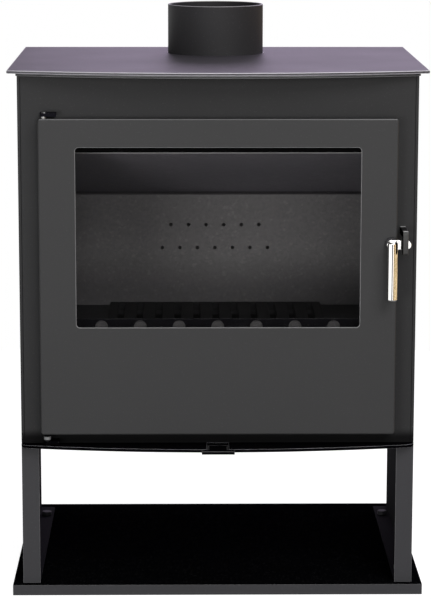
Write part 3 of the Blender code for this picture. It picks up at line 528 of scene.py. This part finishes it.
# Sheet and plate pieces: the width of each one's eased edges
edgeWidths = {
    "base_plate": 0.0011,
    "stand_side_left": 0.0009,
    "stand_side_right": 0.0009,
    "floor_plate": 0.0007,
    "body_side_left": 0.0008,
    "body_side_right": 0.0008,
    "front_frame": 0.0006,
    "back_panel": 0.0006,
    "heat_shield": 0.0007,
    "firebox_top": 0.0008,
    "top_plate": 0.0010,
    "brick_left": 0.0012,
    "brick_right": 0.0012,
    "brick_front": 0.0012,
    "baffle_plate": 0.0012,
    "airwash_deflector": 0.0005,
    "firebed_plate": 0.0006,
    "grate": 0.0013,
    "ash_floor": 0.0005,
    "ash_pan": 0.0004,
    "rope_channel": 0.0004,
    "glass_clip_left_lower": 0.0003,
    "glass_clip_left_upper": 0.0003,
    "glass_clip_right_lower": 0.0003,
    "glass_clip_right_upper": 0.0003,
    "glass_rail": 0.0004,
    "door_glass": 0.0005,
    "hinge_bracket_lower": 0.0007,
    "hinge_bracket_upper": 0.0007,
    "latch_keeper": 0.0008,
    "handle_tongue": 0.0006,
    "slide_guide_left": 0.0004,
    "slide_guide_right": 0.0004,
    "air_slider": 0.0005,
    "air_shutter": 0.0004,
}
finishOf = {
    "base_plate": "stand_paint",
    "stand_side_left": "stand_paint",
    "stand_side_right": "stand_paint",
    # the firebox's shell takes the stove's paint darkened as painted shade
    "body_side_left": "shade_darkened_body_paint",
    "body_side_right": "shade_darkened_body_paint",
    "front_frame": "shade_darkened_body_paint",
    "back_panel": "shade_darkened_body_paint",
    "firebox_top": "shade_darkened_body_paint",
    # painted shade on the hinge brackets and the air slider
    "hinge_bracket_lower": "shade_black_paint",
    "hinge_bracket_upper": "shaded_paint",
    "air_slider": "shade_black_paint",
    "baffle_plate": "lightened_baffle_board",
    "latch_keeper": "keeper_paint",
}
# painted highlights on the eased edges, one finish for each piece
highlitArrises = {
    "base_plate": "arris_highlight_paint",
    "stand_side_left": "arris_highlight_paint",
    "stand_side_right": "arris_highlight_paint",
    "floor_plate": "bright_arris_highlight",
    "firebox_top": "arris_highlight_paint",
    "top_plate": "bright_arris_highlight",
    "air_slider": "arris_highlight_paint",
    "baffle_plate": "board_arris_highlight",
}
for node, width in edgeWidths.items():
    plateFrom(node, width, finishOf.get(node), highlitArrises.get(node))
print("sheets and plates made")


# Log store, ash lip, baffle and keeper: the faces that lie in the dark get painted shade
hollow = {"skin": 0.0005, "frontMargin": 0.006}
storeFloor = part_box("base_plate")[1].z - hollow["skin"]
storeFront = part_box("stand_side_left")[0].y + hollow["frontMargin"]
refinish(
    "base_plate_finished", "shade_black_paint",
    lambda face: face.normal.z > 0.99 and face.center.z > storeFloor)
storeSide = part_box("stand_side_right")[1].x - hollow["skin"]
for side in ("left", "right"):
    refinish(
        f"stand_side_{side}_finished", "shaded_paint",
        lambda face: abs(face.center.x) < storeSide and (face.center.y > storeFront or face.normal.y > 0.5))
refinish(
    "floor_plate_finished", "shade_black_paint",
    lambda face: abs(face.normal.z) > 0.99 or (face.normal.y < -0.2 and abs(face.normal.z) < 0.05))
# painted shade on the baffle's front face
refinish("baffle_plate_finished", "shade_black_paint", lambda face: face.normal.y < -0.98)
# painted shadow on the hook's left side
refinish("latch_keeper_finished", "shade_black_paint", lambda face: face.normal.x < -0.98)


# Flue collar, with the rim turned over
collar = {
    "radius": 0.0665, "wall": 0.003, "flangeRadius": 0.075, "flange": 0.005, "rim": 0.0011, "segments": 128,
}


def flueCollar():
    low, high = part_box("flue_collar")
    centre = centreOf("flue_collar", 0, 1)
    radius = high.x - (collar["flangeRadius"] - collar["radius"])
    bore = radius - collar["wall"]
    seat = low.z + collar["flange"]
    rim = collar["rim"]
    profile = [(bore, low.z), (collar["flangeRadius"], low.z), (collar["flangeRadius"], seat), (radius, seat)]
    profile += quarter(radius - rim, high.z - rim, rim, 0)
    profile += quarter(bore + rim, high.z - rim, rim, 90)
    tubePiece = turned("collar_tube", profile, centre, segments=collar["segments"], ring=True)
    dress(tubePiece, "flue_collar", "collar_paint")
    # painted highlight on the top of the rim
    refinish("collar_tube", "arris_highlight_paint", lambda face: face.normal.z > 0.3 and face.center.z > high.z - rim)


flueCollar()

# Cover of the rear flue outlet
cover = {"rim": 0.012, "slope": 0.002, "dish": 0.0016, "fillet": 0.0008, "segments": 96}


def outletCover():
    low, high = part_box("blanking_plate")
    radius = (high.x - low.x) / 2
    fillet = cover["fillet"]
    inner = radius - cover["rim"]
    profile = [(radius, low.y)] + quarter(radius - fillet, high.y - fillet, fillet, 0)
    profile += [(inner, high.y), (inner - cover["slope"], high.y - cover["dish"])]
    piece = turned("outlet_cover", profile, centreOf("blanking_plate", 0, 2), "Y", cover["segments"])
    dress(piece, "blanking_plate")


outletCover()


# Door: a pressed tray with rolled edges, a window, and the holes for the spindle and the hinge pins
door = {
    "sheet": 0.0025, "corner": 0.004, "roll": 0.0024, "ease": 0.0008,
    "windowHalf": 0.1851, "windowLow": 0.3672, "windowHigh": 0.6036, "windowCorner": 0.0045,
    "spindleHole": 0.0044, "pinHole": 0.0039, "beyond": 0.02, "arris": 0.0007,
}


def doorTray():
    low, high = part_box("door_panel")
    tray = boxed("door_tray", low, high)
    rounded(tray, door["corner"], 6)
    edit()
    pick(tray, "EDGE", lambda e: max(v.co.y for v in e.verts) < low.y + 0.0001)
    bpy.ops.mesh.bevel(offset=door["roll"], segments=5, affect="EDGES")
    pick(tray, "FACE", lambda f: f.normal.y > 0.99)
    bpy.ops.mesh.inset(thickness=door["sheet"])
    deeper = -(high.y - low.y - door["sheet"])
    bpy.ops.mesh.extrude_region_move(TRANSFORM_OT_translate={"value": (0.0, deeper, 0.0)})
    leaveEdit()
    beyond = door["beyond"]
    half = door["windowHalf"]
    window = boxed(
        "window_cutter", Vector((-half, low.y - beyond, door["windowLow"])),
        Vector((half, high.y + beyond, door["windowHigh"])))
    rounded(window, door["windowCorner"], 8)
    carve(tray, window)
    dress(tray, "door_panel", arris="arris_highlight_paint")
    edit()
    # painted highlight on the eased edge round the window
    pick(tray, "EDGE", lambda e: all(
        v.co.y < low.y + 0.0001 and abs(v.co.x) < half + 0.001
        and door["windowLow"] - 0.001 < v.co.z < door["windowHigh"] + 0.001 for v in e.verts))
    bpy.ops.mesh.bevel(offset=door["arris"], segments=2, affect="EDGES", material=1)
    leaveEdit()
    spindle = centreOf("handle_spindle", 0, 2)
    profile = [(door["spindleHole"], low.y - beyond), (door["spindleHole"], high.y + beyond)]
    carve(tray, turned("spindle_cutter", profile, spindle, "Y", 32))
    profile = [(door["pinHole"], low.z - beyond), (door["pinHole"], high.z + beyond)]
    carve(tray, turned("pin_cutter", profile, centreOf("hinge_pin_upper", 0, 1), "Z", 32))
    easeEdges(tray, door["ease"], 2)
    applyModifier(tray, "WEIGHTED_NORMAL", keep_sharp=True)
    # painted highlight on the faces of the rolled edges that face up
    refinish("door_tray", "arris_highlight_paint", lambda face: face.normal.z > 0.6 and -0.8 < face.normal.y < -0.2)


doorTray()


# Tape under the glass and the rope that seals the door, both run round a frame with round corners
def swept(name, section, half, low, high, inset, corner, y):
    # draws a closed section, given as (inwards, backwards) points, round the four sides
    deepest = max(point[0] for point in section)
    bpy.ops.object.select_all(action="DESELECT")
    radius = max(corner, deepest + 0.001)
    count = len(section)
    bpy.ops.mesh.primitive_circle_add(vertices=count, radius=0.01, location=(0.0, y, high))
    piece = named(name)
    settle(piece)
    for vertex, (inwards, backwards) in zip(piece.data.vertices, section):
        vertex.co = (0.0, y + backwards, high - inset - inwards)
    edit()
    bpy.ops.mesh.select_all(action="SELECT")
    width, height = half - inset, (high - low) / 2 - inset
    middleZ = (high + low) / 2
    runs = (
        ((1, 0), (width - radius), (width - radius, height - radius)),
        ((0, -1), 2 * (height - radius), (width - radius, -(height - radius))),
        ((-1, 0), 2 * (width - radius), (-(width - radius), -(height - radius))),
        ((0, 1), 2 * (height - radius), (-(width - radius), height - radius)),
    )
    for (alongX, alongZ), length, (turnX, turnZ) in runs:
        step = (alongX * length, 0.0, alongZ * length)
        bpy.ops.mesh.extrude_edges_move(TRANSFORM_OT_translate={"value": step})
        bpy.ops.mesh.spin(
            steps=6, angle=-math.pi / 2, center=(turnX, y, middleZ + turnZ), axis=(0.0, 1.0, 0.0))
    bpy.ops.mesh.extrude_edges_move(TRANSFORM_OT_translate={"value": (width - radius, 0.0, 0.0)})
    bpy.ops.mesh.select_all(action="SELECT")
    bpy.ops.mesh.remove_doubles(threshold=clean["weld"])
    bpy.ops.mesh.normals_make_consistent(inside=False)
    leaveEdit()
    makeActive(piece)
    bpy.ops.object.shade_smooth_by_angle(angle=math.radians(50))
    return piece


def roundSection(halfWidth, halfDepth, count):
    angles = [2 * math.pi * i / count for i in range(count)]
    return [(halfWidth * (1 + math.cos(a)), halfDepth * (1 + math.sin(a))) for a in angles]


rope = {"width": 0.0094, "corner": 0.008, "facets": 20}


def ropeSeal():
    low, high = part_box("rope_seal")
    section = roundSection(rope["width"] / 2, (high.y - low.y) / 2, rope["facets"])
    piece = swept("door_rope", section, high.x, low.z, high.z, 0.0, rope["corner"], low.y)
    dress(piece, "rope_seal")


ropeSeal()

tape = {"width": 0.0055, "corner": 0.006, "edge": 0.0005}


def glassTape():
    low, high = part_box("glass_gasket")
    depth, width, edge = high.y - low.y, tape["width"], tape["edge"]
    section = [
        (edge, 0.0), (width - edge, 0.0), (width, edge), (width, depth - edge),
        (width - edge, depth), (edge, depth), (0.0, depth - edge), (0.0, edge)]
    piece = swept("glass_tape", section, high.x, low.z, high.z, 0.0, tape["corner"], low.y)
    dress(piece, "glass_gasket")


glassTape()
print("door made")


# Hinges: pins with domed ends, bushes in the door and the spacer under it
hinge = {
    "dome": 0.0016, "point": 0.0006, "bore": 0.0039, "ease": 0.0004,
    "neck": 0.0042, "washerLow": 0.0010, "washerHigh": 0.0052, "round": 0.0004,
}


def hingePieces():
    axis = centreOf("hinge_pin_upper", 0, 1)
    ends = {"upper": (hinge["point"], hinge["dome"]), "lower": (hinge["dome"], hinge["point"])}
    for level, (foot, head) in ends.items():
        low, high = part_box(f"hinge_pin_{level}")
        profile = rod((high.x - low.x) / 2, low.z, high.z, foot, head)
        dress(turned(f"hinge_{level}_pin", profile, axis, segments=48), f"hinge_pin_{level}")
    for level in ("upper", "lower"):
        low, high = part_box(f"door_bush_{level}")
        profile = tube(hinge["bore"], (high.x - low.x) / 2, low.z, high.z, hinge["ease"])
        dress(turned(f"hinge_{level}_bush", profile, axis, segments=48, ring=True), f"door_bush_{level}")
    low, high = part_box("hinge_spacer")
    foot, head = low.z + hinge["washerLow"], low.z + hinge["washerHigh"]
    bore, neck, fillet = hinge["bore"], hinge["neck"], hinge["round"]
    middle = (high.x - low.x) / 2 - fillet
    profile = [(bore, low.z), (neck, low.z), (neck, foot)] + quarter(middle, foot + fillet, fillet, -90)
    profile += quarter(middle, head - fillet, fillet, 0) + [(neck, head), (neck, high.z), (bore, high.z)]
    # painted shade on the washer stack, with a painted highlight on its middle band
    dress(turned("hinge_washer_stack", profile, axis, segments=48, ring=True), "hinge_spacer", "shade_black_paint")
    refinish("hinge_washer_stack", "arris_highlight_paint", lambda face: foot < face.center.z < head)


hingePieces()

# Bolts of the log store: hexagon heads, chamfered, on round shanks
bolt = {
    "flats": 0.0065, "head": 0.0053, "chamfer": 0.0009, "crown": 0.0059, "shank": 0.004, "length": 0.012,
    "spread": 1.3, "fall": 0.5, "ease": 0.0002,
}


def hexagon(name, flats, height):
    # a prism that stands on Z = 0
    bpy.ops.object.select_all(action="DESELECT")
    corners = flats / math.cos(math.pi / 6)
    bpy.ops.mesh.primitive_cylinder_add(
        vertices=6, radius=corners, depth=height, location=(0.0, 0.0, height / 2))
    piece = named(name)
    settle(piece)
    return piece


def hexBolt():
    head = hexagon("bolt_master", bolt["flats"], bolt["head"])
    wide = bolt["flats"] * bolt["spread"]
    slope = wide - bolt["crown"]
    shoulder = bolt["head"] - slope * bolt["fall"]
    profile = [(wide, -bolt["chamfer"]), (wide, shoulder), (bolt["crown"], bolt["head"])]
    carve(head, turned("chamfer_cutter", profile, (0.0, 0.0)), "INTERSECT")
    under = bolt["head"] / 2
    shank = rod(bolt["shank"], -bolt["length"], under, bolt["chamfer"], bolt["chamfer"])
    carve(head, turned("shank_blank", shank, (0.0, 0.0), segments=32), "UNION")
    easeEdges(head, bolt["ease"], 2)
    return head


master = hexBolt()
for end in ("left_front", "left_rear", "right_front", "right_rear"):
    for kind, up in (("base", True), ("floor", False)):
        node = f"{kind}_bolt_{end}"
        low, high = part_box(node)
        piece = bpy.data.objects.new(f"{kind}_screw_{end}", master.data.copy())
        bpy.context.scene.collection.objects.link(piece)
        seat = high.z - bolt["head"] if up else low.z + bolt["head"]
        piece.location = ((low.x + high.x) / 2, (low.y + high.y) / 2, seat)
        piece.rotation_euler = (0.0 if up else math.pi, 0.0, 0.0)
        settle(piece)
        dress(piece, node)
bpy.data.objects.remove(master)

# Handle: a round polished grip on the tongue, the spindle behind it, its boss and its nut
handle = {
    "gripEnd": 0.0022, "bossBore": 0.0044, "bossEdge": 0.0009, "spindleEnd": 0.0025, "shoulder": 0.0112,
    "nutFlats": 0.004, "nutBore": 0.0028, "nutEase": 0.0004, "nutCutter": (-0.01, 0.02),
}


def handlePieces():
    low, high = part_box("handle_grip")
    profile = rod((high.x - low.x) / 2, low.z, high.z, handle["gripEnd"], handle["gripEnd"])
    dress(turned("polished_grip", profile, centreOf("handle_grip", 0, 1), segments=96), "handle_grip")
    centre = centreOf("handle_spindle", 0, 2)
    low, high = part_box("handle_boss")
    edge, radius, bore = handle["bossEdge"], (high.x - low.x) / 2, handle["bossBore"]
    profile = [(bore, low.y)] + quarter(radius - edge, low.y + edge, edge, -90)
    profile += [(radius, high.y), (bore, high.y)]
    dress(turned("spindle_boss", profile, centre, "Y", 64, ring=True), "handle_boss")
    low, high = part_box("handle_spindle")
    radius, shoulder, thin = (high.x - low.x) / 2, high.y - handle["shoulder"], handle["spindleEnd"]
    profile = [(radius, low.y), (radius, shoulder), (thin, shoulder), (thin, high.y)]
    dress(turned("handle_shaft", profile, centre, "Y", 48), "handle_spindle")
    low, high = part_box("spindle_nut")
    nut = hexagon("shaft_nut", handle["nutFlats"], high.y - low.y)
    profile = [(handle["nutBore"], end) for end in handle["nutCutter"]]
    carve(nut, turned("nut_cutter", profile, (0.0, 0.0), segments=32))
    easeEdges(nut, handle["nutEase"], 2)
    nut.rotation_euler = (-math.pi / 2, 0.0, 0.0)
    nut.location = (centre[0], low.y, centre[1])
    settle(nut)
    dress(nut, "spindle_nut")


handlePieces()

# Log retainer, with its row of round holes, and the rear board, with its two rows of air holes
retainer = {"holes": 7, "pitch": 0.0512, "radius": 0.008, "height": 0.3613, "ease": 0.0005}
board = {"rows": ((0.4513, 6), (0.418, 7)), "pitch": 0.0253, "radius": 0.0026, "ease": 0.0003}
drillBeyond = 0.01


def drilled(name, node, places, radius, ease, segments, finish=None, arris=None):
    # the node's own box with round holes through it from front to back
    low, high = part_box(node)
    piece = boxed(name, low, high)
    ends = (low.y - drillBeyond, high.y + drillBeyond)
    for place in places:
        profile = [(radius, ends[0]), (radius, ends[1])]
        carve(piece, turned("hole_cutter", profile, place, "Y", segments))
    dress(piece, node, finish, arris)
    easeEdges(piece, ease, 2)


def row(count, pitch):
    return [(i - (count - 1) / 2) * pitch for i in range(count)]


holes = [(x, retainer["height"]) for x in row(retainer["holes"], retainer["pitch"])]
# the bar carries the shaded paint, with painted highlights on its eased edges
drilled(
    "retainer_bar", "log_retainer", holes, retainer["radius"], retainer["ease"], 40,
    "shaded_paint", "arris_highlight_paint")
holes = [(x, z) for z, count in board["rows"] for x in row(count, board["pitch"])]
drilled("rear_board", "brick_rear", holes, board["radius"], board["ease"], 24)
print("hinges, bolts, handle and drilled pieces made")


# Studio: pale floor, white surround, soft lights
studio = {
    "floorRadius": 1.5, "floorRim": 0.3, "floorDrop": 0.0005, "floorGlow": 0.93, "floorShade": 0.30,
    "above": 0.21, "below": 0.03,
}
# The surround that the polished handle mirrors, as directions: up and across run from -1 to 1
surround = {
    "sky": (-0.08, 0.35), "top": (-0.02, 0.06), "foot": (-0.50, -0.40), "left": (-0.34, -0.30),
    "right": (0.080, 0.092), "wood": (0.24, 0.28), "far": (0.35, 0.75), "grain": 0.14, "grainLength": 26.0,
    "darker": 0.08, "vein": (0.43, 0.53), "white": 1.6, "strip": 2.6,
    "woodDark": (0.08, 0.03, 0.005), "woodPale": (1.45, 1.12, 0.66),
}


def studioFloor():
    bpy.ops.object.select_all(action="DESELECT")
    bpy.ops.mesh.primitive_circle_add(
        vertices=96, radius=studio["floorRadius"], fill_type="NGON",
        location=(0.0, 0.0, -studio["floorDrop"]))
    floor = named("studio_floor")
    edit()
    bpy.ops.mesh.select_all(action="SELECT")
    bpy.ops.mesh.inset(thickness=studio["floorRim"])
    leaveEdit()
    finish = Finish("floor_white")
    tree = finish.tree
    glow = finish.node(
        "ShaderNodeEmission", {}, {"Color": rgb(1, 1, 1), "Strength": studio["floorGlow"]}, "Emission")
    shade = studio["floorShade"]
    matt = finish.node("ShaderNodeBsdfDiffuse", {}, {"Color": rgb(shade, shade, shade)}, "BSDF")
    seen = finish.node("ShaderNodeLightPath", output="Is Camera Ray")
    both = finish.node("ShaderNodeAddShader", {}, {0: glow, 1: matt}, "Shader")
    mixed = finish.node("ShaderNodeMixShader", {}, {0: seen, 1: matt, 2: both}, "Shader")
    tree.nodes.remove(finish.shader)
    tree.links.new(mixed.socket, tree.nodes["Material Output"].inputs["Surface"])
    floor.data.materials.append(finish.material)


def studioWorld():
    # white to the eye; to the stove a soft sky, a white wall low on the left and a wooden one on the right
    world = bpy.data.worlds.new("studio")
    bpy.context.scene.world = world
    graph = Graph(world, "Generated")
    up, across = graph.along("Z"), graph.along("X")
    ramp = {
        "Value": up, "From Min": surround["sky"][0], "From Max": surround["sky"][1],
        "To Min": studio["below"], "To Max": studio["above"]}
    sky = graph.node("ShaderNodeMapRange", {"interpolation_type": "SMOOTHSTEP"}, ramp)
    low = (1.0 - graph.threshold(up, *surround["top"])) * graph.threshold(up, *surround["foot"])
    leftWall = 1.0 - graph.threshold(across, *surround["left"])
    rightWall = graph.threshold(across, *surround["right"])
    wooden = graph.threshold(across, *surround["wood"])
    grain = graph.noise(surround["grain"], detail=2.0, stretch=(1.0, 1.0, surround["grainLength"]))
    nearEdge = 1.0 - graph.threshold(across, *surround["far"])
    wood = graph.blend(
        graph.threshold(grain - surround["darker"] * nearEdge, *surround["vein"]),
        rgb(*surround["woodDark"]), rgb(*surround["woodPale"]))
    white, strip = (rgb(*[surround[part]] * 3) for part in ("white", "strip"))
    wall = graph.blend(wooden, graph.blend(rightWall, white, strip), wood)
    # the walls are for the polished handle; the glass reflects perfectly sharply, so it sees only sky
    glossy = graph.node("ShaderNodeLightPath", output="Is Glossy Ray")
    sharp = graph.node("ShaderNodeLightPath", output="Is Singular Ray")
    openSky = graph.node("ShaderNodeCombineColor", {}, {0: sky, 1: sky, 2: sky})
    light = graph.blend(low * (leftWall + rightWall) * glossy * (1.0 - sharp), openSky, wall)
    seen = graph.node("ShaderNodeLightPath", output="Is Camera Ray")
    graph.feed(graph.tree.nodes["Background"].inputs["Color"], graph.blend(seen, light, rgb(1.0, 1.0, 1.0)))


lamps = {
    "key": {"place": (1.4, -2.5, 2.5), "size": (1.9, 1.6), "power": 62, "colour": (1.0, 0.99, 0.98)},
    "front": {"place": (0.2, -3.6, 1.25), "size": (1.2, 0.8), "power": 31, "colour": (1.0, 1.0, 1.0)},
    "low": {"place": (-1.2, -2.7, 0.45), "size": (0.9, 0.6), "power": 18, "colour": (1.0, 1.0, 1.0)},
    "overhead": {"place": (0.3, -0.1, 2.4), "size": (2.2, 1.4), "power": 15, "colour": (1.0, 1.0, 1.0)},
    "backdrop": {"place": (1.0, 2.3, 1.7), "size": (3.4, 1.3), "power": 21.5, "colour": (0.86, 0.70, 1.0)},
}


aim = (0.0, 0.0, 0.42)


def studioLamps():
    target = Vector(aim)
    for name, lamp in lamps.items():
        light = bpy.data.lights.new(name, "AREA")
        light.shape = "RECTANGLE"
        light.size, light.size_y = lamp["size"]
        light.energy = lamp["power"]
        light.color = lamp["colour"]
        stand = bpy.data.objects.new(name, light)
        bpy.context.scene.collection.objects.link(stand)
        stand.location = lamp["place"]
        stand.rotation_euler = (target - stand.location).to_track_quat("-Z", "Y").to_euler()


studioFloor()
studioWorld()
studioLamps()

# Camera: a long lens, a little above and a little to the left
view = {
    "place": (-0.0446, -3.3147, 0.9772), "down": 0.1819, "right": 0.01319, "roll": 0.00109,
    "lens": 145.66, "sensor": 36.0, "clip": 50.0,
}


def makeCamera():
    data = bpy.data.cameras.new("camera")
    data.lens = view["lens"]
    data.sensor_width = view["sensor"]
    data.clip_end = view["clip"]
    camera = bpy.data.objects.new("camera", data)
    bpy.context.scene.collection.objects.link(camera)
    camera.location = view["place"]
    camera.rotation_euler = (math.pi / 2 - view["down"], 0.0, -view["right"])
    camera.rotation_euler.rotate_axis("Z", view["roll"])
    bpy.context.scene.camera = camera


makeCamera()
bpy.context.scene.view_settings.view_transform = "Standard"
print("studio and camera made")


def corners(bounds):
    return [list(corner) for corner in bounds]
